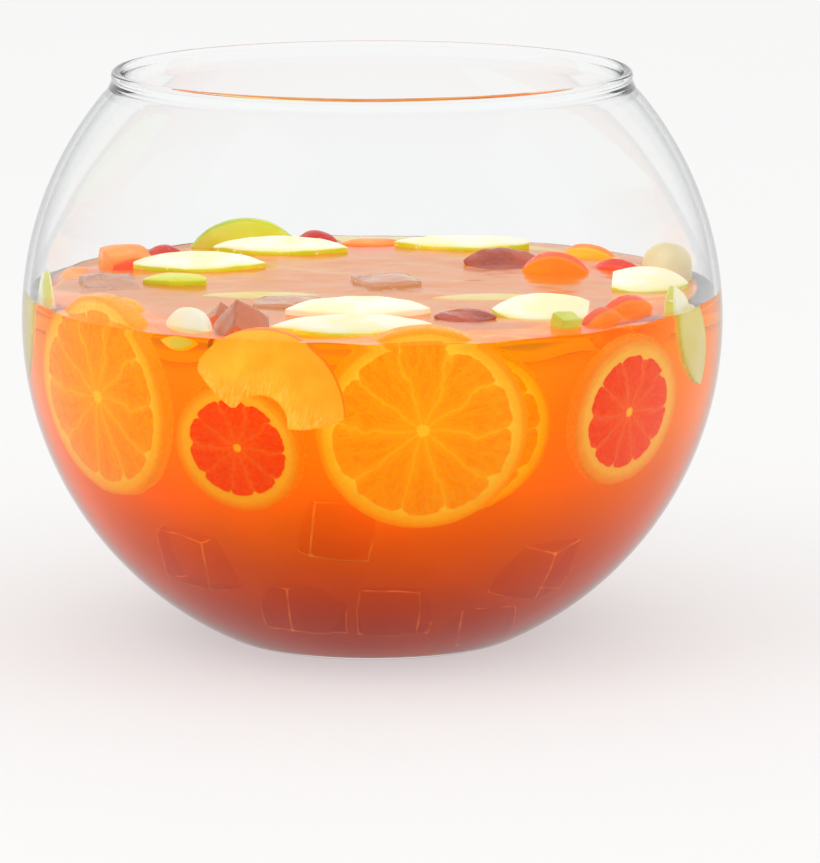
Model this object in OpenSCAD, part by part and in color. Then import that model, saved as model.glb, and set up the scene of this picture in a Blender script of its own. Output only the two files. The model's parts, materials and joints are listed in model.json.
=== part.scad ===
// Punch bowl: a round glass bubble bowl with a beaded mouth, filled to just over half with
// fruit punch. Citrus slices, peach, apple and strawberry pieces and ice cubes float in it.
// Millimetres, +Z up, origin at the centre of the flat base. The front of the bowl faces -Y.

/* [Bowl] */
// Outside diameter of the round bowl
bowl_d = 300; // [280:1:310]
// Thickness of the glass wall
wall = 3; // [2:0.5:5]
// Diameter of the flat base that the bowl stands on
base_d = 130; // [110:1:140]
// Thickness of the glass floor
floor_t = 4; // [3:0.5:6]
// Diameter of the circle that the rim bead follows
rim_d = 217; // [212:1:219]
// Thickness of the rounded rim bead
bead = 4.5; // [3:0.5:6]

/* [Punch] */
// Height of the punch above the widest line of the bowl
punch_level = 14; // [13:0.5:15]

/* [Fruit and ice] */
// Thickness of a citrus slice
slice_t = 7; // [5:0.5:7]
// Thickness of a floating apple slice
apple_t = 7; // [5:0.5:7]
// Length of an ice cube's edge
ice = 25; // [20:0.5:25]
// Gap between a piece and the punch around it
film = 0.4; // [0.2:0.1:0.5]

/* [Hidden] */
$fn = 96;
bowl_r = bowl_d / 2;
inner_r = bowl_r - wall;
centre_z = sqrt(bowl_r * bowl_r - base_d * base_d / 4);
floor_z = floor_t - centre_z;
rim_r = rim_d / 2;
// Height of the lip's foot: the wall's middle line at the rim's radius
lip_z = sqrt(pow(bowl_r - wall / 2, 2) - rim_r * rim_r);
lip_h = 4;
// Inner radius of the bowl that the fruit's places and sizes are given for
FILL_R = 147;
// Gap between the glass and the rim of a slice that leans on it
RIM_GAP = 1.5;
fit = inner_r / FILL_R;
// Height that a well's walls rise above the punch, so that it is open on top
WELL_TOP = 20;
// Room round a piece of fruit in its well
WELL_GAP = 2;
// Height that a floating piece's middle bobs above the punch
BOB = 1;
// Side of the blocks that trim a shape to one side of a plane
BIG = 400;

// ---- Places -------------------------------------------------------------------------------

// Frame of the contents: origin at the centre of the round bowl, sized with the bowl
module in_bowl() {
    translate([0, 0, centre_z]) scale(fit) children();
}

// Floating: x and y across the bowl, rise above the punch, a turn about the upright, and a tip
// that lowers the front edge
module afloat(x, y, rise, turn = 0, tip = 0, roll = 0) {
    in_bowl() translate([x, y, punch_level + rise])
        rotate([0, 0, turn]) rotate([tip, roll, 0]) children();
}

// Against the glass: azimuth to the right of the front, latitude above the widest line, reach
// from the bowl's centre; swing turns the outer face to the right and spin turns it in its plane
module at_wall(azimuth, latitude, reach, swing = 0, lean = 0, spin = 0) {
    in_bowl() rotate([0, 0, azimuth]) rotate([90 - latitude, 0, 0]) translate([0, 0, reach])
        rotate([lean, swing, spin]) children();
}

// Sunk at a point given from the bowl's centre, turned about each axis
module sunk(place, turn = [0, 0, 0]) {
    in_bowl() translate(place) rotate(turn) children();
}

// Straight upright well through the punch, open on top, with the outline of its 2-D children
module well(depth) {
    translate([0, 0, -depth]) linear_extrude(depth + WELL_TOP) children();
}

// Places of the pieces that lift out through the mouth, which their wells share
module place_apple_piece_left() {
    afloat(-84, 8, 0, turn = -6) children();
}

module place_apple_slice_front_inner() {
    afloat(-6, -72, 0, turn = 182) children();
}

module place_peach_wedge_back_right() {
    afloat(80, 38, 0, turn = -12) children();
}

module place_strawberry_half_right() {
    afloat(58, 62, 0, turn = 8) children();
}

module place_strawberry_half_front() {
    afloat(38, -84, 0, turn = -6) children();
}

module place_ice_cube_centre() {
    afloat(6, 10, 0, turn = 20) children();
}

module place_ice_cube_surface_front() {
    afloat(-36, -43, 0, turn = -12) children();
}

// Reach of a round slice of radius r whose rim is next to the glass
function wall_reach(r) = sqrt(pow(FILL_R - RIM_GAP, 2) - r * r) - slice_t / 2;

// ---- Shapes -------------------------------------------------------------------------------

// Outline of a lens of the given length: skin bulges towards -y and flesh towards +y
module lens(length, skin, flesh, grow = 0) {
    skin_r = (length * length / 4 + skin * skin) / (2 * skin);
    flesh_r = (length * length / 4 + flesh * flesh) / (2 * flesh);
    intersection() {
        translate([0, skin_r - skin]) circle(skin_r + grow);
        translate([0, flesh - flesh_r]) circle(flesh_r + grow);
    }
}

// Flat piece with the outline of its 2-D children, centred on its thickness
module slab(thickness, grow = 0) {
    translate([0, 0, -thickness / 2 - grow]) linear_extrude(thickness + 2 * grow) children();
}

// Round slice from the middle of a citrus fruit of radius r, flat faces square to z
module citrus_slice(r, grow = 0) {
    thickness = slice_t + 2 * grow;
    if (grow > 0) cylinder(h = thickness, r = r + grow, center = true);
    else intersection() {
        sphere(r);
        translate([-BIG / 2, -BIG / 2, -thickness / 2]) cube([BIG, BIG, thickness]);
    }
}

// Flat half-moon slice of peach, skin towards -y, with the pit's hollow in its other edge
module peach_slice(length, thickness, grow = 0) {
    hollow = length / 5;
    slab(thickness, grow) difference() {
        lens(length, 2 * hollow, hollow, grow);
        translate([0, hollow]) circle(0.9 * hollow - grow);
    }
}

// Flat slice of apple, skin along the edge towards -y
module apple_slice(length, skin, flesh, thickness = apple_t, grow = 0) {
    slab(thickness, grow) lens(length, skin, flesh, grow);
}

// Round-topped piece that stands up along z and is cut square below
module fruit_dome(top, below, r, grow = 0) {
    translate([0, 0, top - r]) sphere(r + grow);
    translate([0, 0, -below - grow]) cylinder(h = below + top - r + grow, r = r + grow);
}

// Strawberry half lying on its side along x with its cut face up
module strawberry_half(length, r, grow = 0) {
    arc_r = (length * length / 4 + r * r) / (2 * r);
    if (grow > 0) rotate([0, 90, 0]) cylinder(h = length + 2 * grow, r = r + grow, center = true);
    else intersection() {
        rotate([0, 90, 0]) rotate_extrude() intersection() {
            translate([r - arc_r, 0]) circle(arc_r);
            translate([0, -BIG / 2]) square([BIG, BIG]);
        }
        translate([-BIG / 2, -BIG / 2, -BIG]) cube([BIG, BIG, BIG]);
    }
}

// Ice cube with its corners melted round
module ice_cube(edge, grow = 0) {
    if (grow > 0) cube(edge + 2 * grow, center = true);
    else intersection() {
        cube(edge, center = true);
        sphere(edge * 0.76);
    }
}

// ---- Bowl and punch -----------------------------------------------------------------------

// Half section of the glass: a round wall over a flat floor
module wall_section() {
    difference() {
        circle(bowl_r);
        intersection() {
            circle(inner_r);
            translate([-BIG, floor_z]) square([2 * BIG, BIG]);
        }
        translate([-BIG, -BIG - centre_z]) square([2 * BIG, BIG]);
        translate([-BIG, lip_z]) square([2 * BIG, BIG]);
        translate([-BIG, -BIG]) square([BIG, 2 * BIG]);
    }
}

// Short upright lip that ends in a rounded bead
module lip_section() {
    translate([rim_r - wall / 2, lip_z - wall]) square([wall, wall + lip_h]);
    translate([rim_r, lip_z + lip_h]) circle(bead / 2);
}

module bowl() {
    color("lightcyan", 0.3) translate([0, 0, centre_z]) rotate_extrude($fn = 180) {
        wall_section();
        lip_section();
    }
}

// Round body of liquid up to its level, clear of the glass by the film
module liquid() {
    translate([0, 0, centre_z]) intersection() {
        sphere(inner_r - film, $fn = 180);
        translate([-BIG / 2, -BIG / 2, floor_z + film])
            cube([BIG, BIG, punch_level * fit - floor_z - film]);
    }
}

module punch() {
    color("orange", 0.6) difference() {
        liquid();
        sunken_pieces(film);
        floating_pieces(film);
        wells();
    }
}

// ---- Citrus slices ------------------------------------------------------------------------

module orange_slice_front(grow = 0) {
    color("orange") at_wall(8.8, -9.8, 129, swing = -5) citrus_slice(41.5, grow);
}

module orange_slice_behind(grow = 0) {
    color("orange") at_wall(19, -13, 112) citrus_slice(33, grow);
}

module orange_slice_left(grow = 0) {
    color("orange") at_wall(-53.5, -7.5, 132) citrus_slice(41, grow);
}

module orange_slice_left_behind(grow = 0) {
    color("orange") at_wall(-62, -4, 119, swing = 6, lean = -8) citrus_slice(26, grow);
}

module orange_slice_deep(grow = 0) {
    color("darkorange") at_wall(19, -38, 104) citrus_slice(23, grow);
}

module blood_orange_slice_left(grow = 0) {
    color("orangered") at_wall(-24.6, -14, 127) citrus_slice(27, grow);
}

module blood_orange_slice_right(grow = 0) {
    color("orangered") at_wall(46.9, -8.9, wall_reach(31)) citrus_slice(31, grow);
}

// ---- Peach pieces -------------------------------------------------------------------------

module peach_slice_front(grow = 0) {
    color("gold") at_wall(-17.0, -3, 138.8, spin = 163) peach_slice(64, 6, grow);
}

module peach_chunk_left(grow = 0) {
    color("gold") afloat(-110, 64, -4, turn = 25, tip = 12) ice_cube(20, grow);
}

module peach_slice_left_back(grow = 0) {
    color("gold") afloat(-128, 34, -3, turn = 70, tip = 20) apple_slice(34, 9, 8, grow = grow);
}

module peach_slice_back(grow = 0) {
    color("gold") afloat(0, 120, -2, turn = 2, tip = 10) apple_slice(34, 6, 6, grow = grow);
}

module peach_wedge_back_right(grow = 0) {
    color("gold") place_peach_wedge_back_right() rotate([-70, 0, 0])
        apple_slice(30, 9, 9, grow = grow);
}

module peach_wedge_back_right_red(grow = 0) {
    color("tomato") afloat(108, 50, -3, turn = -25, tip = -60) apple_slice(26, 7, 8, grow = grow);
}

module peach_wedge_back_right_yellow(grow = 0) {
    color("gold") afloat(97, 87, -4, turn = -20, tip = -75) apple_slice(32, 9, 9, grow = grow);
}

module peach_wedge_right(grow = 0) {
    color("gold") afloat(105, -60, -4, turn = 30, tip = -70) apple_slice(28, 10, 12, grow = grow);
}

module peach_wedge_front_right(grow = 0) {
    color("gold") afloat(93, -88, -3, turn = 47, tip = -80) apple_slice(26, 8, 10, grow = grow);
}

// ---- Apple pieces -------------------------------------------------------------------------

module apple_wedge_back_left(grow = 0) {
    color("greenyellow") afloat(-58, 114, 0, turn = 8, tip = -82)
        apple_slice(50, 13, 10, grow = grow);
}

module apple_slice_back_left(grow = 0) {
    color("lightyellow") afloat(-42, 97, 1, turn = -2, tip = 14)
        apple_slice(62, 9, 10, grow = grow);
}

module apple_slice_left(grow = 0) {
    color("lightyellow") afloat(-77, 50, 1, turn = 3, tip = 14)
        apple_slice(60, 10, 11, grow = grow);
}

module apple_piece_left(grow = 0) {
    color("greenyellow") place_apple_piece_left() rotate([8, 0, 0])
        apple_slice(30, 6, 6, grow = grow);
}

module apple_slice_sunken_left(grow = 0) {
    color("lightyellow") afloat(-48, -16, -8, turn = 2, tip = 6)
        apple_slice(50, 8, 8, thickness = 5, grow = grow);
}

module apple_slice_back(grow = 0) {
    color("lightyellow") afloat(43, 113, 1, turn = -2, tip = 10)
        apple_slice(66, 13, 4, grow = grow);
}

module apple_slice_front_inner(grow = 0) {
    color("lightyellow") place_apple_slice_front_inner() translate([0, 0, BOB]) rotate([-12, 0, 0])
        apple_slice(60, 11, 10, grow = grow);
}

module apple_slice_front_outer(grow = 0) {
    color("lightyellow") afloat(-8, -112, 1, turn = 2, tip = 12)
        apple_slice(66, 13, 9, grow = grow);
}

module apple_slice_sunken_centre(grow = 0) {
    color("lightyellow") afloat(50, -22, -8, turn = 2, tip = 6)
        apple_slice(50, 8, 8, thickness = 5, grow = grow);
}

module apple_slice_right_centre(grow = 0) {
    color("lightyellow") afloat(72, -74, 1, turn = -8, tip = 20)
        apple_slice(46, 15, 12, grow = grow);
}

module apple_slice_right(grow = 0) {
    color("lightyellow") afloat(116, -4, 1, turn = -6, tip = 15)
        apple_slice(38, 14, 13, thickness = 8, grow = grow);
}

module apple_wedge_right(grow = 0) {
    color("yellowgreen") afloat(129, 27, 0) fruit_dome(15, 12, 11, grow);
}

module apple_chunk_right(grow = 0) {
    color("lightyellow") afloat(78, -101, 0, turn = 30, tip = 15) ice_cube(9, grow);
}

module apple_slice_right_wall(grow = 0) {
    color("lightyellow") at_wall(66, 1, 140, swing = -4, spin = -70)
        apple_slice(46, 13, 11, thickness = 6, grow = grow);
}

module apple_slice_left_wall(grow = 0) {
    color("lightyellow") at_wall(-80, 1, 140, spin = 80)
        apple_slice(46, 13, 11, thickness = 6, grow = grow);
}

module apple_slice_front_left(grow = 0) {
    color("lightyellow") afloat(-74, -104, 0, turn = -45, tip = 75)
        apple_slice(26, 9, 8, thickness = 5, grow = grow);
}

// ---- Strawberries -------------------------------------------------------------------------

module strawberry_left(grow = 0) {
    color("crimson") afloat(-94, 92, -3, turn = 20, tip = 180) strawberry_half(21, 7, grow);
}

module strawberry_back(grow = 0) {
    color("crimson") afloat(-26, 128, -3, turn = 12, tip = 180) strawberry_half(24, 8, grow);
}

module strawberry_half_right(grow = 0) {
    color("brown") place_strawberry_half_right() translate([0, 0, BOB]) rotate([20, 0, 0])
        strawberry_half(36, 12, grow);
}

module strawberry_half_front(grow = 0) {
    color("brown") place_strawberry_half_front() translate([0, 0, BOB]) rotate([12, 0, 0])
        strawberry_half(26, 8, grow);
}

// ---- Ice ----------------------------------------------------------------------------------

module ice_cube_centre(grow = 0) {
    color("azure", 0.5) place_ice_cube_centre() translate([0, 0, 2 * BOB - ice / 2])
        ice_cube(ice, grow);
}

module ice_chunk_front_left(grow = 0) {
    color("azure", 0.5) afloat(-53, -111, -1, turn = 20, tip = 40, roll = 30) ice_cube(16, grow);
}

module ice_chunk_left_edge(grow = 0) {
    color("azure", 0.5) afloat(-62, -88, 0, turn = 10, tip = 35, roll = 40) ice_cube(9, grow);
}

module ice_cube_surface_left(grow = 0) {
    color("azure", 0.5) afloat(-114, 10, -10, turn = 15, tip = 8) ice_cube(ice - 2, grow);
}

module ice_cube_surface_front(grow = 0) {
    color("azure", 0.5) place_ice_cube_surface_front() translate([0, 0, BOB - ice / 2])
        ice_cube(ice, grow);
}

module ice_cube_upper(grow = 0) {
    color("azure", 0.5) sunk([-14, -92, -64], [8, 6, 12]) ice_cube(ice, grow);
}

module ice_cube_lower_left(grow = 0) {
    color("azure", 0.5) sunk([-26, -66, -100], [10, -6, 20]) ice_cube(ice, grow);
}

module ice_cube_lower_right(grow = 0) {
    color("azure", 0.5) sunk([8, -72, -101], [12, 4, -8]) ice_cube(ice, grow);
}

module ice_cube_bottom_right(grow = 0) {
    color("azure", 0.5) sunk([38, -46, -113], [0, 0, 30]) ice_cube(ice, grow);
}

module ice_cube_right(grow = 0) {
    color("azure", 0.5) sunk([60, -60, -84], [14, 20, -10]) ice_cube(ice, grow);
}

module ice_cube_left(grow = 0) {
    color("azure", 0.5) sunk([-64, -60, -80], [10, -15, 40]) ice_cube(ice, grow);
}

// ---- Groups -------------------------------------------------------------------------------

// Pieces that stay in place under the punch or against the glass
module sunken_pieces(grow) {
    orange_slice_front(grow);
    orange_slice_behind(grow);
    orange_slice_left(grow);
    orange_slice_left_behind(grow);
    orange_slice_deep(grow);
    blood_orange_slice_left(grow);
    blood_orange_slice_right(grow);
    peach_slice_front(grow);
    apple_slice_sunken_left(grow);
    apple_slice_sunken_centre(grow);
    apple_slice_right_wall(grow);
    apple_slice_left_wall(grow);
    ice_cube_surface_left(grow);
    ice_cube_upper(grow);
    ice_cube_lower_left(grow);
    ice_cube_lower_right(grow);
    ice_cube_bottom_right(grow);
    ice_cube_right(grow);
    ice_cube_left(grow);
}

// Pieces that float under the bowl's shoulder, outside the mouth
module floating_pieces(grow) {
    peach_chunk_left(grow);
    peach_slice_left_back(grow);
    peach_slice_back(grow);
    peach_wedge_back_right_red(grow);
    peach_wedge_back_right_yellow(grow);
    peach_wedge_right(grow);
    peach_wedge_front_right(grow);
    apple_wedge_back_left(grow);
    apple_slice_back_left(grow);
    apple_slice_left(grow);
    apple_slice_back(grow);
    apple_slice_front_outer(grow);
    apple_slice_right_centre(grow);
    apple_slice_right(grow);
    apple_wedge_right(grow);
    apple_chunk_right(grow);
    apple_slice_front_left(grow);
    strawberry_left(grow);
    strawberry_back(grow);
    ice_chunk_front_left(grow);
    ice_chunk_left_edge(grow);
}

// Straight wells in the punch for the pieces that lift out through the mouth
module wells() {
    place_apple_piece_left() well(7) lens(30, 6, 6, grow = WELL_GAP);
    place_apple_slice_front_inner() well(7) lens(60, 11, 10, grow = WELL_GAP);
    place_strawberry_half_right() well(16) lens(36, 12, 12, grow = WELL_GAP);
    place_strawberry_half_front() well(11) lens(26, 8, 8, grow = WELL_GAP);
    place_peach_wedge_back_right() well(11) square([30 + 2 * WELL_GAP, 15], center = true);
    place_ice_cube_centre() well(ice - 1) square(ice + 2 * film, center = true);
    place_ice_cube_surface_front() well(ice) square(ice + 2 * film, center = true);
}

bowl();
punch();
orange_slice_front();
orange_slice_behind();
orange_slice_left();
orange_slice_left_behind();
orange_slice_deep();
blood_orange_slice_left();
blood_orange_slice_right();
peach_slice_front();
peach_chunk_left();
peach_slice_left_back();
peach_slice_back();
peach_wedge_back_right();
peach_wedge_back_right_red();
peach_wedge_back_right_yellow();
peach_wedge_right();
peach_wedge_front_right();
apple_wedge_back_left();
apple_slice_back_left();
apple_slice_left();
apple_piece_left();
apple_slice_sunken_left();
apple_slice_back();
apple_slice_front_inner();
apple_slice_front_outer();
apple_slice_sunken_centre();
apple_slice_right_centre();
apple_slice_right();
apple_wedge_right();
apple_chunk_right();
apple_slice_right_wall();
apple_slice_left_wall();
apple_slice_front_left();
strawberry_left();
strawberry_back();
strawberry_half_right();
strawberry_half_front();
ice_cube_centre();
ice_chunk_front_left();
ice_chunk_left_edge();
ice_cube_surface_left();
ice_cube_surface_front();
ice_cube_upper();
ice_cube_lower_left();
ice_cube_lower_right();
ice_cube_bottom_right();
ice_cube_right();
ice_cube_left();
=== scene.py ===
import json
import math

import bmesh
import bpy
import numpy as np
from mathutils import Matrix, Vector, noise

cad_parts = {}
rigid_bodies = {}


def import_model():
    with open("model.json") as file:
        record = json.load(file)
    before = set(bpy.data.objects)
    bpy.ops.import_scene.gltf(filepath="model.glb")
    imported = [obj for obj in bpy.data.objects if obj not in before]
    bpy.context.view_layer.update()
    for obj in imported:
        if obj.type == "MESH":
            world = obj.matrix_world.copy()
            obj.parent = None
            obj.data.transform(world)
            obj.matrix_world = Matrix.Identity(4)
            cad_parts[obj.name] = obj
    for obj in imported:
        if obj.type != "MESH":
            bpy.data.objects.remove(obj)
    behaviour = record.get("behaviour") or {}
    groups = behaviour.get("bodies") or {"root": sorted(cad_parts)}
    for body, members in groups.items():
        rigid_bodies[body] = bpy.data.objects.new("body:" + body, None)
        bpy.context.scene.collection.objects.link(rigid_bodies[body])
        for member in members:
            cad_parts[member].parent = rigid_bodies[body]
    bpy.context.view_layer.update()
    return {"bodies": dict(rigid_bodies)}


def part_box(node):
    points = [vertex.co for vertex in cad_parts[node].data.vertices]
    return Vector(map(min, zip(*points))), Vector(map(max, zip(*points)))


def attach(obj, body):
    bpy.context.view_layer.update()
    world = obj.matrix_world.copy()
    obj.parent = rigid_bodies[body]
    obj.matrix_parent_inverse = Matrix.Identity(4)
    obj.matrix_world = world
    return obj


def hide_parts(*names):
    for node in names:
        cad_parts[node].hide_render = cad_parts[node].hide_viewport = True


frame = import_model()

# Fixes the pattern of the worn surfaces, which Blender otherwise draws from the clock
noise.seed_set(1)

# Sizes and places of the pieces are in millimetres, as in the CAD source, and MM turns them to metres.
MM = 0.001
ROOT = "filled_bowl"

# ---- Driving sizes --------------------------------------------------------------------------
BOWL_R = 150
BASE_R = 65
WALL = 3
INNER_R = BOWL_R - WALL
FLOOR_T = 4
RIM_R = 108.5
BEAD = 4.5
# Height of the lip from the end of the round wall to the middle of its bead
LIP_H = 4
# Height of the rounded corner between the floor and the wall, inside
CORNER_H = 4
CENTRE_Z = math.sqrt(BOWL_R**2 - BASE_R**2)
PUNCH_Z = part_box("punch")[1].z / MM
PUNCH_LEVEL = PUNCH_Z - CENTRE_Z
# How far the punch's surface reaches into the glass, so that no air shows between them
WET = 0.25
PUNCH_R = INNER_R + WET
SLICE_T = 7
APPLE_T = 7
ICE = 25
RIM_GAP = 1.5


def wall_reach(r):
    """Reach of a round slice of radius r whose rim is next to the glass."""
    return math.sqrt((INNER_R - RIM_GAP) ** 2 - r * r) - SLICE_T / 2


# ---- Places, as in the CAD source -------------------------------------------------------------
def turn(x=0, y=0, z=0):
    """Turns about x, then y, then z, in degrees."""
    spin = Matrix.Rotation(math.radians(z), 4, "Z") @ Matrix.Rotation(math.radians(y), 4, "Y")
    return spin @ Matrix.Rotation(math.radians(x), 4, "X")


def afloat(x, y, rise, yaw=0, tip=0, roll=0):
    """Floating at x and y, rise above the punch."""
    return Matrix.Translation((x, y, PUNCH_Z + rise)) @ turn(z=yaw) @ turn(tip, roll)


def at_wall(azimuth, latitude, reach, swing=0, lean=0, spin=0):
    """Against the glass, azimuth to the right of the front and latitude above the widest line."""
    place = turn(z=azimuth) @ turn(90 - latitude) @ Matrix.Translation((0, 0, reach))
    return Matrix.Translation((0, 0, CENTRE_Z)) @ place @ turn(lean, swing, spin)


def sunk(place, angles=(0, 0, 0)):
    """Sunk at a point given from the bowl's centre."""
    return Matrix.Translation((0, 0, CENTRE_Z)) @ Matrix.Translation(place) @ turn(*angles)


# ---- Meshes -----------------------------------------------------------------------------------
def rough(points, size, amount, seed):
    """Points moved by smooth noise of the given size and amount, both in the points' own units."""
    shift = Vector((seed * 7.3, seed * 3.1, seed * 5.7))
    moves = [noise.noise_vector(Vector(p) / size + shift) for p in points]
    return points + amount * np.array(moves)


def grid_faces(rows, cols, wrap=True):
    """Quads between rows of points, closed round each row."""
    faces = []
    for i in range(rows - 1):
        for j in range(cols if wrap else cols - 1):
            k = (j + 1) % cols
            faces.append((i * cols + j, i * cols + k, (i + 1) * cols + k, (i + 1) * cols + j))
    return faces


def close_up(mesh):
    """Joins points that coincide and turns every face outwards."""
    work = bmesh.new()
    work.from_mesh(mesh)
    bmesh.ops.remove_doubles(work, verts=work.verts, dist=0.000002)
    bmesh.ops.dissolve_degenerate(work, edges=work.edges, dist=0.000002)
    bmesh.ops.recalc_face_normals(work, faces=work.faces)
    work.to_mesh(mesh)
    work.free()


def piece(name, points, faces, place, material, node=None, attributes=None):
    """A smooth mesh piece that rides on its node's body and stands for that node."""
    points = np.asarray(points, float)
    world = np.array(place)
    points = (points @ world[:3, :3].T + world[:3, 3]) * MM
    mesh = bpy.data.meshes.new(name)
    mesh.from_pydata(points.tolist(), [], faces)
    mesh.validate()
    mesh.polygons.foreach_set("use_smooth", [True] * len(mesh.polygons))
    for key, values in (attributes or {}).items():
        values = np.asarray(values, np.float32)
        kind, field = ("FLOAT_VECTOR", "vector") if values.ndim == 2 else ("FLOAT", "value")
        mesh.attributes.new(key, kind, "POINT").data.foreach_set(field, values.ravel())
    close_up(mesh)
    obj = bpy.data.objects.new(name, mesh)
    bpy.context.scene.collection.objects.link(obj)
    obj.data.materials.append(material)
    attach(obj, node if node in frame["bodies"] else ROOT)
    if node:
        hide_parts(node)
    return obj


def rings(profile, steps):
    """Surface of revolution of (r, z) points, rows of points round z."""
    angles = np.linspace(0, 2 * math.pi, steps, endpoint=False)
    r, z = np.array(profile, float).T
    x = r[:, None] * np.cos(angles)
    y = r[:, None] * np.sin(angles)
    return np.stack([x, y, np.repeat(z[:, None], steps, 1)], -1).reshape(-1, 3)


def arc(radius, start, end, steps, centre=(0, 0)):
    """Points (r, z) on an arc, angles in degrees from the +r axis."""
    angles = np.radians(np.linspace(start, end, steps))
    return [(centre[0] + radius * math.cos(a), centre[1] + radius * math.sin(a)) for a in angles]


# ---- Shader building --------------------------------------------------------------------------
class Shader:
    """A material and short calls that add nodes to it."""

    def __init__(self, name):
        self.material = bpy.data.materials.new(name)
        self.material.use_nodes = True
        self.nodes = self.material.node_tree.nodes
        self.links = self.material.node_tree.links
        self.surface = self.nodes["Principled BSDF"]
        self.output = self.nodes["Material Output"]

    def add(self, kind, settings=None, **inputs):
        """A new node of a kind with its settings and inputs."""
        node = self.nodes.new("ShaderNode" + kind)
        for key, value in (settings or {}).items():
            setattr(node, key, value)
        for key, value in inputs.items():
            self.feed(node.inputs[key.replace("_", " ")], value)
        return node

    def feed(self, socket, value):
        """Links the socket to another, or sets its number or colour."""
        if isinstance(value, bpy.types.NodeSocket):
            self.links.new(value, socket)
        elif value is not None:
            socket.default_value = value

    def set(self, **inputs):
        """Inputs of the main surface shader."""
        for key, value in inputs.items():
            self.feed(self.surface.inputs[key.replace("_", " ")], value)

    def math(self, operation, a, b=None, c=None, clamp=False):
        node = self.add("Math", {"operation": operation, "use_clamp": clamp})
        for socket, value in zip(node.inputs, (a, b, c)):
            self.feed(socket, value)
        return node.outputs[0]

    def around(self, value, size):
        """Swing of the given size about zero, from a value of 0 to 1."""
        return self.math("MULTIPLY", self.math("SUBTRACT", value, 0.5), size)

    def attribute(self, name):
        """A mesh attribute that holds three numbers."""
        node = self.add("Attribute", {"attribute_name": name})
        return node.outputs["Vector"]

    def value(self, name):
        """A mesh attribute that holds one number."""
        node = self.add("Attribute", {"attribute_name": name})
        return node.outputs["Fac"]

    def split(self, vector):
        return self.add("SeparateXYZ", Vector=vector).outputs

    def join(self, x, y, z):
        return self.add("CombineXYZ", X=x, Y=y, Z=z).outputs[0]

    def position(self):
        """Place on the piece in metres, which stays with the piece when its body moves."""
        return self.add("TexCoord").outputs["Object"]

    def noise(self, vector, scale, detail=2.0, roughness=0.5):
        node = self.add("TexNoise", None, Vector=vector, Scale=scale, Detail=detail, Roughness=roughness)
        return node.outputs["Fac"]

    def cells(self, vector, scale, feature="F1", output="Distance"):
        node = self.add("TexVoronoi", {"feature": feature}, Vector=vector, Scale=scale)
        return node.outputs[output]

    def step(self, value, low, high, out_low=0.0, out_high=1.0):
        """Smooth change from out_low to out_high while the value goes from low to high."""
        node = self.add("MapRange", {"interpolation_type": "SMOOTHSTEP"}, Value=value)
        limits = (("From Min", low), ("From Max", high), ("To Min", out_low), ("To Max", out_high))
        for key, number in limits:
            self.feed(node.inputs[key], number)
        return node.outputs["Result"]

    def mix(self, factor, a, b, blend="MIX"):
        node = self.add("Mix", {"data_type": "RGBA", "blend_type": blend})
        self.feed(node.inputs[0], factor)
        self.feed(node.inputs[6], a)
        self.feed(node.inputs[7], b)
        return node.outputs[2]

    def ramp(self, factor, *stops):
        node = self.add("ValToRGB", None, Fac=factor)
        elements = node.color_ramp.elements
        while len(elements) < len(stops):
            elements.new(0.5)
        for element, (at, colour) in zip(elements, stops):
            element.position = at
            element.color = colour
        return node.outputs["Color"]

    def bump(self, height, strength, distance):
        node = self.add("Bump", None, Height=height, Strength=strength, Distance=distance)
        return node.outputs["Normal"]


def tone(hex_colour):
    """Linear colour of an sRGB one written as six hexadecimal digits."""
    parts = [int(hex_colour[i : i + 2], 16) / 255 for i in (0, 2, 4)]
    return tuple(c / 12.92 if c <= 0.04045 else ((c + 0.055) / 1.055) ** 2.4 for c in parts) + (1.0,)


# Dims the straight reflections of glass and punch, and leaves those at a slant
DIM_GLOSS = (0.05, 0.05, 0.05, 1)


# ---- Glass bowl -------------------------------------------------------------------------------
def glass_material():
    """Clear glass, greyer where it is seen at a slant: painted shade that stands in for dark surroundings
    seen through the glass's edges.
    """
    s = Shader("clear_glass")
    facing = s.add("LayerWeight", None, Blend=0.5).outputs["Facing"]
    # Painted shade: the glass's tint turns grey towards its outlines, where dark surroundings would show
    # through it.
    clear = s.mix(s.step(facing, 0.72, 0.95), tone("fdfefe"), tone("5c6262"))
    s.set(Base_Color=clear, Roughness=0.0, IOR=1.42, Transmission_Weight=1.0)
    s.set(Specular_Tint=DIM_GLOSS)
    volume = s.add("VolumeAbsorption", None, Color=tone("c0c4c4"), Density=3.0)
    s.links.new(volume.outputs[0], s.output.inputs["Volume"])
    return s.material


def bowl_profile():
    """Closed half section of the glass, from the middle of its floor round to the middle of its foot."""
    mid_r = BOWL_R - WALL / 2
    lip_z = math.sqrt(mid_r**2 - RIM_R**2)
    bead_z = CENTRE_Z + lip_z + LIP_H
    floor_a = math.degrees(math.asin((FLOOR_T + CORNER_H - CENTRE_Z) / INNER_R))
    inner_top = math.degrees(math.acos((RIM_R - WALL / 2) / INNER_R))
    outer_top = math.degrees(math.acos((RIM_R + WALL / 2) / BOWL_R))
    foot_a = math.degrees(math.asin(-CENTRE_Z / BOWL_R)) + 0.5
    inner_foot = INNER_R * math.cos(math.radians(floor_a))
    floor = [(0, FLOOR_T)] + [(r, FLOOR_T) for r in np.linspace(8, inner_foot - 12, 12)]
    corner = [(inner_foot - 7, FLOOR_T + 0.5), (inner_foot - 3.2, FLOOR_T + 1.8)]
    inner = arc(INNER_R, floor_a, inner_top - 1.2, 90, (0, CENTRE_Z))
    bead = arc(BEAD / 2, 215, -35, 22, (RIM_R, bead_z))
    outer = arc(BOWL_R, outer_top - 1.2, foot_a, 90, (0, CENTRE_Z))
    foot = [(BASE_R - 0.6, 0.25), (BASE_R - 2, 0)]
    foot += [(r, 0) for r in np.linspace(BASE_R - 8, 8, 8)] + [(0, 0)]
    return floor + corner + inner + bead + outer + foot


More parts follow.
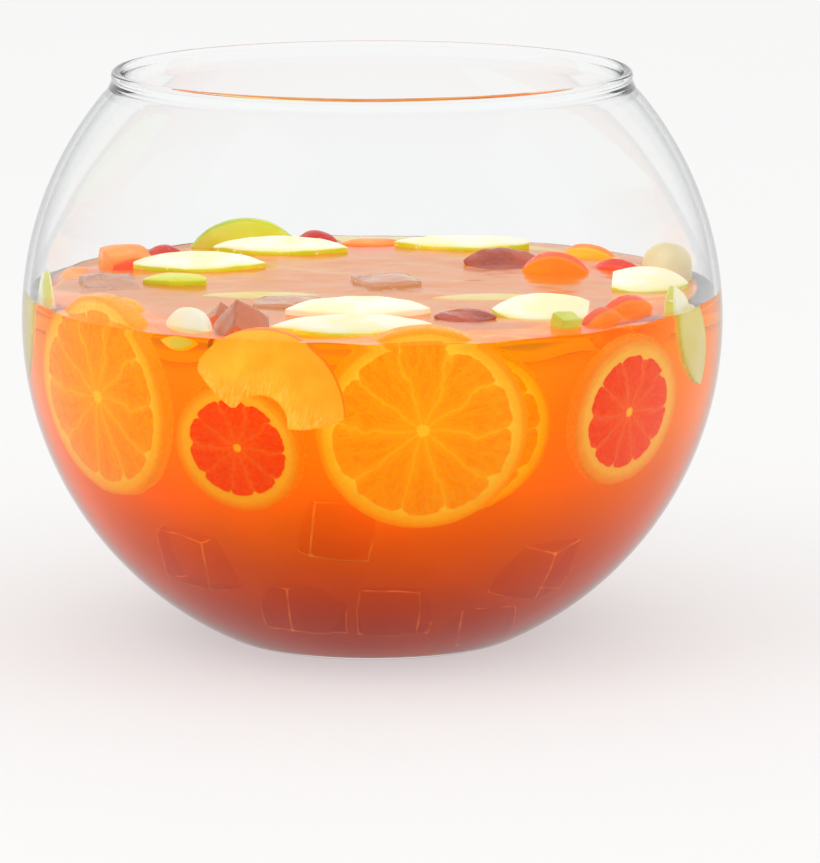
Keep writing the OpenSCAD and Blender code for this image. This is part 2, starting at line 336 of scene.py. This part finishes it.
def build_bowl():
    profile = bowl_profile()
    steps = 224
    points = rings(profile, steps)
    faces = grid_faces(len(profile), steps)
    piece("glass_bowl", points, faces, Matrix(), glass_material(), "bowl")


# ---- Punch ------------------------------------------------------------------------------------
def punch_height(x, y):
    """Height of the punch's surface over its level: small ripples, higher where it meets the glass."""
    r = math.hypot(x, y)
    ripple = 0.4 * noise.noise(Vector((x / 21, y / 19, 1.7)))
    ripple += 0.18 * noise.noise(Vector((x / 7, y / 7, 4.2)))
    side = 1.6 * math.exp((abs(x) - PUNCH_R) / 8)
    wave = 0.9 * noise.noise(Vector((x / 22, y / 22, 9.1))) * (r / PUNCH_R) ** 8
    return ripple + side + wave


def build_punch():
    """The liquid as one closed surface: floor, side, and a rippled top that stays within the glass."""
    floor_z = FLOOR_T - WET
    floor_a = math.degrees(math.asin((floor_z + CORNER_H - CENTRE_Z) / PUNCH_R))
    top_a = math.degrees(math.asin(PUNCH_LEVEL / PUNCH_R))
    foot_r = PUNCH_R * math.cos(math.radians(floor_a))
    floor = [(0, floor_z), (foot_r / 2, floor_z)]
    floor += [(foot_r - 7, floor_z + 0.5), (foot_r - 3.2, floor_z + 1.8)]
    side = arc(PUNCH_R, floor_a, top_a, 70, (0, CENTRE_Z))
    edge_r = PUNCH_R * math.cos(math.radians(top_a))
    edge = [(edge_r - gap, PUNCH_Z) for gap in (0.6, 1.4, 2.4, 3.6)]
    top = [(r, PUNCH_Z) for r in np.linspace(edge[-1][0] - 1.8, 0, 72)]
    profile = floor + side + edge + top
    steps = 256
    points = rings(profile, steps)
    start = (len(floor) + len(side)) * steps
    for i in range(start - steps, len(points)):
        points[i, 2] += punch_height(points[i, 0], points[i, 1])
        widest = math.sqrt(PUNCH_R**2 - (points[i, 2] - CENTRE_Z) ** 2)
        over = math.hypot(points[i, 0], points[i, 1]) / widest
        if over > 1:
            points[i, :2] /= over
    faces = grid_faces(len(profile), steps)
    piece("punch_liquid", points, faces, Matrix(), punch_material(), "punch")


def punch_material():
    """Clear orange liquid, browner towards the bottom as painted shade, blurred through its top and
    floor.
    """
    s = Shader("punch_liquid")
    height = s.split(s.position())[2]
    level = s.step(height, 0.0, PUNCH_Z * MM)
    # Painted shade: the tint darkens to brown towards the bottom of the bowl.
    tint = s.ramp(
        level,
        (0.0, tone("b86a38")),
        (0.22, tone("e0a070")),
        (0.5, tone("f6d0a8")),
        (0.85, tone("fff0dc")),
        (1.0, tone("fffaf0")),
    )
    upward = s.split(s.add("NewGeometry").outputs["Normal"])[2]
    blur = s.step(s.math("ABSOLUTE", upward), 0.8, 0.95, 0.0, 0.16)
    s.set(Base_Color=tint, Roughness=blur, IOR=1.33, Transmission_Weight=1.0)
    s.set(Specular_Tint=DIM_GLOSS)
    volume = s.add("VolumeAbsorption", None, Color=(0.996, 0.925, 0.02, 1), Density=85.0)
    s.links.new(volume.outputs[0], s.output.inputs["Volume"])
    return s.material


def depths_material():
    """Glowing core that paints the light scattered in the cloudy punch: bright orange on top, red brown
    at the bottom as painted shade, paler salmon on upward faces as a painted reflection.
    """
    s = Shader("punch_depths")
    place = s.position()
    cloud = s.noise(place, 16.0, 3.0, 0.55)
    height = s.math("ADD", s.split(place)[2], s.around(cloud, 0.035))
    level = s.math("DIVIDE", height, PUNCH_Z * MM)
    # Painted shade: red brown towards the bottom, bright orange towards the top.
    colour = s.ramp(
        level,
        (0.0, tone("a83c08")),
        (0.2, tone("cc5a10")),
        (0.45, tone("ee7c1a")),
        (0.7, tone("ff9c2c")),
        (1.0, tone("ffae48")),
    )
    upward = s.split(s.add("NewGeometry").outputs["Normal"])[2]
    # Painted reflection: upward faces turn pale salmon, as the bright sky reflected in the punch's top.
    colour = s.mix(s.step(upward, 0.7, 0.95), colour, tone("de9472"))
    # The emission is painted light: the core glows with its own colour.
    s.set(Base_Color=colour, Roughness=0.8, Emission_Color=colour, Emission_Strength=0.5)
    return s.material


def build_depths():
    """The glowing core, which paints the light scattered in the cloudy punch: clear of the fruit at the
    front glass, near the glass at the back, and just under the surface on top."""
    top_z = PUNCH_Z - 9
    bottom_z = 15
    front_inset, back_inset = 32, 7
    core_r = PUNCH_R - front_inset
    spread = 12
    low_a = math.degrees(math.asin((bottom_z - CENTRE_Z) / (core_r + spread)))
    side = []
    for a in np.linspace(low_a, 0, 30):
        reach = core_r + spread * (a / low_a) ** 2
        side.append((reach * math.cos(math.radians(a)), CENTRE_Z + reach * math.sin(math.radians(a))))
    shoulder = 6
    top = arc(shoulder, 0, 90, 6, (core_r - shoulder, top_z - shoulder))
    disc = [(r, top_z) for r in np.linspace(core_r - shoulder - 3, 0, 30)]
    profile = [(0, bottom_z), (side[0][0] - 4, bottom_z)] + side + top + disc
    steps = 160
    points = rings(profile, steps)
    azimuth = np.degrees(np.arctan2(points[:, 0], -points[:, 1]))
    front_end, blend = 78, 14
    back = np.clip((np.abs(azimuth) - front_end) / blend, 0, 1)
    back = back * back * (3 - 2 * back)
    wider = 1 + back * ((PUNCH_R - back_inset) / core_r - 1)
    points[:, :2] *= wider[:, None]
    points = rough(points, 26, 3.0, 3)
    reach = np.linalg.norm(points - [0, 0, CENTRE_Z], axis=1)
    side_gap = 4
    limit = np.minimum((PUNCH_R - side_gap) / reach, 1.0)
    points = [0, 0, CENTRE_Z] + (points - [0, 0, CENTRE_Z]) * limit[:, None]
    faces = grid_faces(len(profile), steps)
    piece("punch_depths", points, faces, Matrix(), depths_material())


# ---- Citrus slices ----------------------------------------------------------------------------
SEGMENTS = 10


def citrus_material(name, flesh, flesh_deep, membrane, pith, pith_deep, rind, flesh_edge, glow):
    """Cut citrus, in slice coordinates where the rim is at 1 and the flesh ends at flesh_edge."""
    s = Shader(name)
    local = s.attribute("local")
    x, y, z = s.split(local)
    wob = s.noise(local, 3.0, 2.0)
    fine = s.noise(local, 14.0, 3.0)
    radius = s.math("SQRT", s.math("ADD", s.math("MULTIPLY", x, x), s.math("MULTIPLY", y, y)))
    angle = s.math("ARCTAN2", y, x)
    swing = s.around(wob, 0.9)
    share = s.math("ADD", s.math("MULTIPLY", angle, SEGMENTS / (2 * math.pi)), swing)
    part = s.math("FRACT", s.math("ADD", share, 100.0))
    side = s.math("ABSOLUTE", s.math("SUBTRACT", part, 0.5))
    segment_width = s.math("MULTIPLY", radius, 2 * math.pi / SEGMENTS)
    off = s.math("MULTIPLY", s.math("SUBTRACT", 0.5, side), segment_width)
    wall = s.step(off, 0.0, 0.024, 0.8, 0.0)
    halo = s.step(off, 0.0, 0.09, 0.35, 0.0)
    lobe = s.math("MULTIPLY", s.math("POWER", s.math("MULTIPLY", side, 2.0), 6.0), 0.07)
    edge = s.math("SUBTRACT", s.math("ADD", flesh_edge, s.around(fine, 0.05)), lobe)
    in_flesh = s.step(s.math("SUBTRACT", edge, radius), -0.006, 0.01)
    cell_at = s.join(s.math("MULTIPLY", angle, 5.5), s.math("MULTIPLY", radius, 2.6), z)
    cell_tone = s.cells(cell_at, 3.2, "F1", "Color")
    cell_edge = s.cells(cell_at, 3.2, "DISTANCE_TO_EDGE")
    colour = s.mix(s.split(cell_tone)[0], flesh, flesh_deep)
    colour = s.mix(s.step(cell_edge, 0.0, 0.08, 0.35, 0.0), colour, membrane)
    colour = s.mix(s.step(radius, 0.0, 0.55, 0.35, 0.0), colour, membrane)
    colour = s.mix(halo, colour, membrane)
    colour = s.mix(wall, colour, membrane)
    ragged = s.math("ADD", radius, s.around(fine, 0.05))
    middle = s.step(ragged, 0.045, 0.075, 1.0, 0.0)
    colour = s.mix(middle, colour, pith)
    pith_depth = s.math("ADD", radius, s.math("MULTIPLY", fine, 0.08))
    pith_tone = s.mix(s.step(pith_depth, 0.86, 0.98), pith, pith_deep)
    rind_share = s.step(radius, 0.93, 0.975)
    outer = s.mix(rind_share, pith_tone, rind)
    colour = s.mix(in_flesh, outer, colour)
    height = s.math("MULTIPLY", s.step(cell_edge, 0.0, 0.2), 0.5)
    height = s.math("ADD", height, s.math("MULTIPLY", fine, 0.5))
    # The emission at glow is painted light: the slice glows to look lit through the punch.
    s.set(
        Base_Color=colour,
        Roughness=s.step(fine, 0.3, 0.7, 0.18, 0.38),
        Emission_Color=colour,
        Emission_Strength=glow,
        Normal=s.bump(height, 0.35, 0.0006),
    )
    return s.material


def slice_points(r, thickness, seed):
    """Round slice: rows from the middle of one face, round the rim to the middle of the other."""
    steps = 200
    radii = list(np.linspace(0, 0.97, 34))
    half = thickness / 2
    rim = [(0.985, 0.985), (0.997, 0.9), (1.0, 0.6), (1.0, 0.2)]
    rows = [(f, 1.0) for f in radii] + rim
    rows = rows + [(f, -h) for f, h in reversed(rows)]
    profile = [(f * r, h * half) for f, h in rows]
    points = rings(profile, steps)
    angles = np.arctan2(points[:, 1], points[:, 0])
    f = np.hypot(points[:, 0], points[:, 1]) / r
    side = np.abs((angles * SEGMENTS / (2 * math.pi) + 100) % 1 - 0.5) * 2
    pillow = np.where(f < 0.86, 0.35 * np.sqrt(np.clip(1 - side**4, 0, 1)) - 0.45, 0.0)
    puff = 0.25 * np.exp(-(((f - 0.9) / 0.04) ** 2))
    points[:, 2] += np.sign(points[:, 2]) * (pillow + puff) * (f < 0.98)
    points = rough(points, r * 0.22, 0.45, seed)
    points = rough(points, r * 0.05, 0.16, seed + 1)
    return points, grid_faces(len(profile), steps)


# Place and radius
CITRUS = {
    "orange_slice_front": (at_wall(8.8, -9.8, 129, swing=-5), 41.5),
    "orange_slice_behind": (at_wall(19, -13, 112), 33),
    "orange_slice_left": (at_wall(-53.5, -7.5, 132), 41),
    "orange_slice_left_behind": (at_wall(-62, -4, 119, swing=6, lean=-8), 26),
    "orange_slice_deep": (at_wall(19, -38, 104), 23),
    "blood_orange_slice_left": (at_wall(-24.6, -14, 127), 27),
    "blood_orange_slice_right": (at_wall(46.9, -8.9, wall_reach(31)), 31),
}


def build_citrus():
    orange = citrus_material(
        "orange_flesh", flesh=tone("ffa00c"), flesh_deep=tone("ff9204"), membrane=tone("ffb834"),
        pith=tone("ffcc58"), pith_deep=tone("ffb42c"), rind=tone("ff9a14"), flesh_edge=0.86, glow=0.62,
    )
    blood = citrus_material(
        "blood_orange_flesh", flesh=tone("fc4a24"), flesh_deep=tone("f83a18"), membrane=tone("fc6a44"),
        pith=tone("ffbc58"), pith_deep=tone("ff9c30"), rind=tone("ff8c1c"), flesh_edge=0.76, glow=0.55,
    )
    for seed, (name, (place, r)) in enumerate(CITRUS.items()):
        red = name.startswith("blood")
        points, faces = slice_points(r, SLICE_T, seed + 1)
        piece(name, points, faces, place, blood if red else orange, name, {"local": points / r})


# ---- Apple and peach slices -------------------------------------------------------------------
# How much a slice thins towards its tips, where 1 is to nothing
TIP_TAPER = 0.92


def lens_points(length, skin, flesh, thickness, ends=(1.0, 1.0), hollow=0.0, seed=0):
    """Slice with a curved skin edge to -y and a flesh edge to +y: rows along x, square-ish sections.
    ends cuts each tip off at that share of the half length, and hollow takes the pit's place out."""
    rows, cols = 56, 48
    half = length / 2
    skin_r = (half**2 + skin**2) / (2 * skin)
    flesh_r = (half**2 + flesh**2) / (2 * flesh)
    spread = np.sin(np.linspace(-math.pi / 2, math.pi / 2, rows))
    xs = np.where(spread < 0, spread * ends[0], spread * ends[1]) * half * 0.998
    turns = np.linspace(0, 2 * math.pi, cols, endpoint=False)
    square = 2 / 5
    across = np.sign(np.cos(turns)) * np.abs(np.cos(turns)) ** square
    up = np.sign(np.sin(turns)) * np.abs(np.sin(turns)) ** square
    points, local = [], []
    for x in xs:
        low = skin_r - skin - math.sqrt(max(skin_r**2 - x * x, 0))
        high = math.sqrt(max(flesh_r**2 - x * x, 0)) - flesh_r + flesh
        if hollow:
            pit = math.sqrt(max((0.9 * hollow) ** 2 - x * x, 0))
            high = min(high, hollow - pit) if pit else high
        thin = math.sqrt(1 - TIP_TAPER * abs(x / half) ** 3)
        for v, w in zip(across, up):
            share = (v + 1) / 2
            points.append((x, low + (high - low) * share, w * thin * thickness / 2))
            local.append((x / half, v, w))
    count = len(points)
    faces = grid_faces(rows, cols)
    faces += [tuple(range(cols))[::-1], tuple(range(count - cols, count))]
    points = rough(np.array(points), 9, 0.35, seed)
    points = rough(points, 2.5, 0.12, seed + 1)
    return points, faces, np.array(local)


def apple_material(name, flesh, flesh_warm, skin, skin_warm, glow):
    """Cut apple with its skin at local y of -1."""
    s = Shader(name)
    y = s.split(s.attribute("local"))[1]
    place = s.position()
    soft = s.noise(place, 60.0, 3.0)
    fine = s.noise(place, 420.0, 2.0)
    flesh_tone = s.mix(s.step(soft, 0.35, 0.65), flesh, flesh_warm)
    flesh_tone = s.mix(s.step(y, -0.95, -0.6, 0.4, 0.0), flesh_tone, skin_warm)
    skin_tone = s.mix(s.step(soft, 0.3, 0.7), skin, skin_warm)
    skin_tone = s.mix(s.step(fine, 0.62, 0.7), skin_tone, flesh_warm)
    share = s.step(s.math("ADD", y, s.around(fine, 0.03)), -0.99, -0.93, 1.0, 0.0)
    colour = s.mix(share, flesh_tone, skin_tone)
    # The emission at glow is painted light: the apple glows to look lit through the punch.
    s.set(
        Base_Color=colour,
        Roughness=s.step(share, 0.0, 1.0, 0.32, 0.14),
        Emission_Color=colour,
        Emission_Strength=glow,
        Normal=s.bump(fine, 0.25, 0.0004),
    )
    return s.material


def peach_material(name, flesh, flesh_deep, fibre, skin, glow):
    """Cut peach: fibres towards the pit's side, deeper flesh and thin dark skin at local y of -1."""
    s = Shader(name)
    local = s.attribute("local")
    x, y, z = s.split(local)
    place = s.position()
    soft = s.noise(place, 45.0, 3.0)
    strands = s.noise(s.join(s.math("MULTIPLY", x, 26.0), s.math("MULTIPLY", y, 2.2), z), 1.6, 3.0, 0.6)
    flesh_tone = s.mix(s.step(soft, 0.3, 0.7), flesh, flesh_deep)
    toward_pit = s.step(y, -0.1, 0.9)
    fibrous = s.math("MULTIPLY", s.step(strands, 0.4, 0.7, 0.0, 0.6), toward_pit)
    flesh_tone = s.mix(fibrous, flesh_tone, fibre)
    flesh_tone = s.mix(s.step(y, -0.95, -0.45, 0.85, 0.0), flesh_tone, flesh_deep)
    colour = s.mix(s.step(y, -0.995, -0.965, 1.0, 0.0), flesh_tone, skin)
    # The emission at glow is painted light: the peach glows to look lit through the punch.
    s.set(
        Base_Color=colour,
        Roughness=s.step(soft, 0.3, 0.7, 0.2, 0.38),
        Emission_Color=colour,
        Emission_Strength=glow,
        Normal=s.bump(strands, 0.3, 0.0006),
    )
    return s.material


# Place, length, bulge of the skin side, bulge of the flesh side, thickness and the share of each
# tip that is left
APPLES = {
    "apple_wedge_back_left": (afloat(-58, 114, 0, 8, -82), 50, 13, 10, APPLE_T, (1, 1)),
    "apple_slice_back_left": (afloat(-42, 97, 1, -2, 14), 62, 9, 10, APPLE_T, (0.96, 1)),
    "apple_slice_left": (afloat(-77, 50, 1, 3, 14), 60, 10, 11, APPLE_T, (0.95, 1)),
    "apple_piece_left": (afloat(-84, 8, 0, -6, 8), 30, 6, 6, APPLE_T, (1, 0.85)),
    "apple_slice_sunken_left": (afloat(-48, -16, -8, 2, 6), 50, 8, 8, 5, (0.95, 1)),
    "apple_slice_back": (afloat(43, 113, 1, -2, 10), 66, 13, 4, APPLE_T, (1, 0.86)),
    "apple_slice_front_inner": (afloat(-6, -72, 1, 182, -12), 60, 11, 10, APPLE_T, (1, 1)),
    "apple_slice_front_outer": (afloat(-8, -112, 1, 2, 12), 66, 13, 9, APPLE_T, (1, 1)),
    "apple_slice_sunken_centre": (afloat(50, -22, -8, 2, 6), 50, 8, 8, 5, (1, 0.95)),
    "apple_slice_right_centre": (afloat(72, -74, 1, -8, 20), 46, 15, 12, APPLE_T, (1, 0.72)),
    "apple_slice_right": (afloat(116, -4, 1, -6, 15), 38, 14, 13, 8, (0.7, 1)),
    "apple_slice_right_wall": (at_wall(66, 1, 140, swing=-4, spin=-70), 46, 13, 11, 6, (1, 1)),
    "apple_slice_left_wall": (at_wall(-80, 1, 140, spin=80), 46, 13, 11, 6, (1, 1)),
    "apple_slice_front_left": (afloat(-74, -104, 0, -45, 75), 26, 9, 8, 5, (1, 1)),
}
PEACHES = {
    "peach_slice_left_back": (afloat(-128, 34, -3, 70, 20), 34, 9, 8, APPLE_T, (1, 1)),
    "peach_slice_back": (afloat(0, 120, -2, 2, 10), 34, 6, 6, APPLE_T, (1, 1)),
    "peach_wedge_back_right": (afloat(80, 38, 0, -12, -70), 30, 9, 9, APPLE_T, (1, 1)),
    "peach_wedge_back_right_red": (afloat(108, 50, -3, -25, -60), 26, 7, 8, APPLE_T, (1, 1)),
    "peach_wedge_back_right_yellow": (afloat(97, 87, -4, -20, -75), 32, 9, 9, APPLE_T, (1, 1)),
    "peach_wedge_right": (afloat(105, -60, -4, 30, -70), 28, 10, 12, APPLE_T, (1, 1)),
    "peach_wedge_front_right": (afloat(93, -88, -3, 47, -80), 26, 8, 10, APPLE_T, (1, 1)),
}


def build_apples():
    cream = apple_material(
        "apple_flesh", flesh=tone("fffae4"), flesh_warm=tone("fdf2be"), skin=tone("ccd81c"),
        skin_warm=tone("e8e23c"), glow=0.3,
    )
    green = apple_material(
        "apple_green", flesh=tone("ecec70"), flesh_warm=tone("dce040"), skin=tone("b8d010"),
        skin_warm=tone("dce41c"), glow=0.2,
    )
    for seed, (name, (place, length, skin, flesh, thick, ends)) in enumerate(APPLES.items()):
        points, faces, local = lens_points(length, skin, flesh, thick, ends, 0, 20 + seed)
        finish = green if name in ("apple_wedge_back_left", "apple_piece_left") else cream
        piece(name, points, faces, place, finish, name, {"local": local})
    build_dome()


def build_dome():
    """Round-topped wedge that stands up at the right."""
    top, below, r = 15, 12, 11
    profile = [(0, -below), (r * 0.8, -below), (r * 0.96, -below + 1)]
    profile += [(r, z) for z in np.linspace(-below + 2.5, top - r, 8)]
    profile += arc(r, 0, 90, 16, (0, top - r))[1:]
    steps = 64
    points = rough(rings(profile, steps), 10, 0.9, 41)
    dome = apple_material(
        "apple_dome", flesh=tone("ecdcae"), flesh_warm=tone("e2cf98"), skin=tone("b4b04a"),
        skin_warm=tone("c8c060"), glow=0.3,
    )
    local = np.stack([points[:, 0] / r, -points[:, 0] / r, points[:, 2] / top], -1)
    name = "apple_wedge_right"
    faces = grid_faces(len(profile), steps)
    piece(name, points, faces, afloat(129, 27, 0), dome, name, {"local": local})


def build_peaches():
    gold = peach_material(
        "peach_flesh", flesh=tone("ffc83c"), flesh_deep=tone("ffac24"), fibre=tone("ffe088"),
        skin=tone("f08020"), glow=0.6,
    )
    amber = peach_material(
        "peach_amber", flesh=tone("ff9c28"), flesh_deep=tone("fb8418"), fibre=tone("ffb848"),
        skin=tone("f05a30"), glow=0.4,
    )
    red = peach_material(
        "peach_red", flesh=tone("f87048"), flesh_deep=tone("f05030"), fibre=tone("ff9c70"),
        skin=tone("e03820"), glow=0.4,
    )
    finishes = {"peach_wedge_back_right_red": red, "peach_wedge_back_right_yellow": gold}
    for seed, (name, (place, length, skin, flesh, thick, ends)) in enumerate(PEACHES.items()):
        points, faces, local = lens_points(length, skin, flesh, thick, ends, 0, 50 + seed)
        finish = finishes.get(name, amber)
        piece(name, points, faces, place, finish, name, {"local": local})
    length = 64
    hollow = length / 5
    points, faces, local = lens_points(length, 2 * hollow, hollow, 6, (1, 0.97), hollow, 70)
    place = at_wall(-17, -3, 138.8, spin=163)
    name = "peach_slice_front"
    piece(name, points, faces, place, gold, name, {"local": local})
    edge = 20
    points, faces = cube_points(edge, 0.3, 71)
    place = afloat(-110, 64, -4, 25, 12)
    name = "peach_chunk_left"
    piece(name, points, faces, place, amber, name, {"local": points / (edge / 2)})


# ---- Strawberries -----------------------------------------------------------------------------
def berry_points(length, r, seed):
    """Strawberry half on its side along x, cut face up and slightly domed."""
    rows, cols = 44, 40
    half = length / 2
    arc_r = (half**2 + r**2) / (2 * r)
    points = []
    for t in np.linspace(-1, 1, rows):
        x = half * math.sin(t * math.pi / 2) * 0.998
        width = math.sqrt(arc_r**2 - x * x) - arc_r + r
        for a in np.linspace(0, 2 * math.pi, cols, endpoint=False):
            y = width * math.cos(a)
            z = width * math.sin(a)
            points.append((x, y, z if z < 0 else 0.1 * z))
    faces = grid_faces(rows, cols)
    count = len(points)
    faces += [tuple(range(cols))[::-1], tuple(range(count - cols, count))]
    return rough(np.array(points), 6, 0.5, seed), faces


def berry_material(name, flesh, flesh_dark, pale, glow):
    """Wet strawberry with pale seeds."""
    s = Shader(name)
    place = s.position()
    soft = s.noise(place, 70.0, 3.0)
    seeds = s.cells(place, 380.0)
    colour = s.mix(s.step(soft, 0.35, 0.65), flesh, flesh_dark)
    colour = s.mix(s.step(seeds, 0.1, 0.2, 0.7, 0.0), colour, pale)
    # The emission at glow is painted light: the strawberry glows to look lit.
    s.set(
        Base_Color=colour,
        Roughness=0.16,
        Emission_Color=colour,
        Emission_Strength=glow,
        Normal=s.bump(seeds, 0.4, 0.0006),
    )
    return s.material


# Place, length and radius
BERRIES = {
    "strawberry_left": (afloat(-94, 92, -3, 20, 180), 21, 7),
    "strawberry_back": (afloat(-26, 128, -3, 12, 180), 24, 8),
    "strawberry_half_right": (afloat(58, 62, 1, 8, 20), 36, 12),
    "strawberry_half_front": (afloat(38, -84, 1, -6, 12), 26, 8),
}


def build_berries():
    red = berry_material(
        "strawberry_flesh", flesh=tone("e85040"), flesh_dark=tone("d83428"), pale=tone("f0a080"), glow=0.2
    )
    dark = berry_material(
        "strawberry_dark", flesh=tone("b04420"), flesh_dark=tone("943010"), pale=tone("d07848"), glow=0.4
    )
    for seed, (name, (place, length, r)) in enumerate(BERRIES.items()):
        points, faces = berry_points(length, r, 80 + seed)
        finish = dark if "half" in name else red
        piece(name, points, faces, place, finish, name)


# ---- Ice --------------------------------------------------------------------------------------
def cube_points(edge, rounding, seed, cuts=14):
    """Cube with rounded edges, worn by smooth noise."""
    half = edge / 2
    line = np.linspace(-1, 1, cuts)
    points, faces = [], []
    for axis in range(3):
        for sign in (-1, 1):
            start = len(points)
            for a in line:
                for b in line:
                    on_side = (a, b, sign)
                    points.append([on_side[(i - axis) % 3] for i in range(3)])
            for quad in grid_faces(cuts, cuts, wrap=False):
                quad = tuple(start + k for k in quad)
                faces.append(quad if sign > 0 else quad[::-1])
    points = np.array(points, float)
    soft = points / np.linalg.norm(points, axis=1)[:, None] * 1.35
    points = (points * (1 - rounding) + soft * rounding) * half
    keys = {}
    merged, index = [], []
    for p in points:
        key = tuple(np.round(p, 4))
        if key not in keys:
            keys[key] = len(merged)
            merged.append(p)
        index.append(keys[key])
    faces = [tuple(index[k] for k in quad) for quad in faces]
    points = rough(np.array(merged), edge * 0.4, edge * 0.035, seed)
    return points, faces


def ice_material(name, tint, clearness):
    """Melting ice with frosted patches."""
    s = Shader(name)
    place = s.position()
    frost = s.noise(place, 120.0, 4.0, 0.6)
    s.set(
        Base_Color=tint,
        Roughness=s.step(frost, 0.4, 0.75, 0.05, 0.4),
        IOR=1.31,
        Transmission_Weight=clearness,
        Normal=s.bump(frost, 0.3, 0.0012),
    )
    return s.material


def deep_ice_material():
    """Ice deep in the punch: faint, with pale glowing edges, a painted highlight broken up by frost."""
    s = Shader("ice_in_punch")
    place = s.position()
    frost = s.noise(place, 90.0, 4.0, 0.6)
    # Painted highlight: pale orange edges that glow, where refraction would draw light lines.
    edge = s.step(s.math("ADD", s.value("edge"), s.around(frost, 0.08)), 0.0, 0.09, 1.0, 0.0)
    clear = s.add("BsdfTransparent", None, Color=tone("faf0e6"))
    s.set(Base_Color=tone("ffa868"), Roughness=0.3, Emission_Color=tone("ffa868"), Emission_Strength=0.6)
    share = s.math("MULTIPLY", edge, s.step(frost, 0.4, 0.6, 0.2, 0.9))
    both = s.add("MixShader")
    s.feed(both.inputs[0], share)
    s.links.new(clear.outputs[0], both.inputs[1])
    s.links.new(s.surface.outputs[0], both.inputs[2])
    s.links.new(both.outputs[0], s.output.inputs["Surface"])
    return s.material


# Place, edge and rounding; the last value is True where the piece is deep in the punch
ICES = {
    "ice_cube_centre": (afloat(6, 10, 2 - ICE / 2, 20), ICE, 0.22, False),
    "ice_chunk_front_left": (afloat(-53, -111, -1, 20, 40, 30), 16, 0.15, False),
    "ice_chunk_left_edge": (afloat(-62, -88, 0, 10, 35, 40), 9, 0.15, False),
    "ice_cube_surface_left": (afloat(-114, 10, -10, 15, 8), ICE - 2, 0.22, False),
    "ice_cube_surface_front": (afloat(-36, -43, 1 - ICE / 2, -12), ICE, 0.22, False),
    "ice_cube_upper": (sunk((-14, -92, -64), (8, 6, 12)), ICE, 0.2, True),
    "ice_cube_lower_left": (sunk((-26, -66, -100), (10, -6, 20)), ICE, 0.2, True),
    "ice_cube_lower_right": (sunk((8, -72, -101), (12, 4, -8)), ICE, 0.2, True),
    "ice_cube_bottom_right": (sunk((38, -46, -113), (0, 0, 30)), ICE, 0.2, True),
    "ice_cube_right": (sunk((60, -60, -84), (14, 20, -10)), ICE, 0.2, True),
    "ice_cube_left": (sunk((-64, -60, -80), (10, -15, 40)), ICE, 0.2, True),
}


def build_ice():
    clear = ice_material("ice", tint=tone("fbf0e8"), clearness=0.7)
    tinted = ice_material("ice_tinted", tint=tone("ffb48c"), clearness=0.35)
    deep = deep_ice_material()
    for seed, (name, (place, edge, rounding, is_deep)) in enumerate(ICES.items()):
        points, faces = cube_points(edge, rounding, 90 + seed)
        reach = np.abs(points)
        flat = np.sort(reach / reach.max(axis=1, keepdims=True), axis=1)
        finish = tinted if name.startswith("ice_chunk") else clear
        finish = deep if is_deep else finish
        piece(name, points, faces, place, finish, name, {"edge": 1 - flat[:, 1]})


def build_apple_chunk():
    name = "apple_chunk_right"
    green = bpy.data.materials["apple_green"]
    points, faces = cube_points(9, 0.25, 120)
    place = afloat(78, -101, 0, 30, 15)
    piece(name, points, faces, place, green, name, {"local": points / 6})


# ---- Stage ------------------------------------------------------------------------------------
FLOOR_GLOW = 0.49
# Half the floor's width, in metres
FLOOR_REACH = 30


def build_floor():
    """Pale floor with a glow of its own, as evenly lit paper looks."""
    s = Shader("pale_floor")
    grain = s.noise(s.position(), 3.0, 4.0)
    paper = s.mix(grain, (0.455, 0.45, 0.445, 1), (0.465, 0.462, 0.459, 1))
    s.set(Base_Color=paper, Roughness=0.8, Specular_IOR_Level=0.0)
    s.set(Emission_Color=(1, 1, 1, 1), Emission_Strength=FLOOR_GLOW)
    points = [(x * FLOOR_REACH, y * FLOOR_REACH, 0) for x, y in ((-1, -1), (1, -1), (1, 1), (-1, 1))]
    mesh = bpy.data.meshes.new("floor")
    mesh.from_pydata(points, [], [(0, 1, 2, 3)])
    floor = bpy.data.objects.new("floor", mesh)
    bpy.context.scene.collection.objects.link(floor)
    floor.data.materials.append(s.material)


def build_world():
    world = bpy.data.worlds.new("studio")
    bpy.context.scene.world = world
    world.use_nodes = True
    back = world.node_tree.nodes["Background"]
    back.inputs["Color"].default_value = (1, 1, 1, 1)
    back.inputs["Strength"].default_value = 0.95


def softbox(name, place, size, strength):
    """Area light aimed at the bowl."""
    data = bpy.data.lights.new(name, "AREA")
    data.shape = "RECTANGLE"
    data.size, data.size_y = size
    data.energy = strength
    light = bpy.data.objects.new(name, data)
    bpy.context.scene.collection.objects.link(light)
    light.location = place
    aim = Vector((0, 0, 0.15)) - Vector(place)
    light.rotation_euler = aim.to_track_quat("-Z", "Y").to_euler()


def build_camera():
    """Camera at the photograph's angle: a little above the rim, far away."""
    distance = 1.957
    elevation = math.radians(9.63)
    # How far it aims below and to the right of the bowl's middle
    lower, right = math.radians(1.426), math.radians(0.478)
    centre = Vector((0, 0, CENTRE_Z * MM))
    data = bpy.data.cameras.new("camera")
    data.sensor_width = 36
    data.lens = 190.2
    camera = bpy.data.objects.new("camera", data)
    bpy.context.scene.collection.objects.link(camera)
    camera.location = centre + distance * Vector((0, -math.cos(elevation), math.sin(elevation)))
    camera.rotation_euler = (math.pi / 2 - elevation - lower, 0, -right)
    bpy.context.scene.camera = camera


build_camera()
build_world()
build_floor()
softbox("key", (-1.3, -0.9, 1.9), (1.2, 1.2), 6)
softbox("fill", (1.6, -0.6, 1.4), (0.8, 1.6), 3)
bpy.context.scene.view_settings.view_transform = "Standard"

build_bowl()
build_punch()
build_depths()
build_citrus()
build_apples()
build_peaches()
build_berries()
build_ice()
build_apple_chunk()
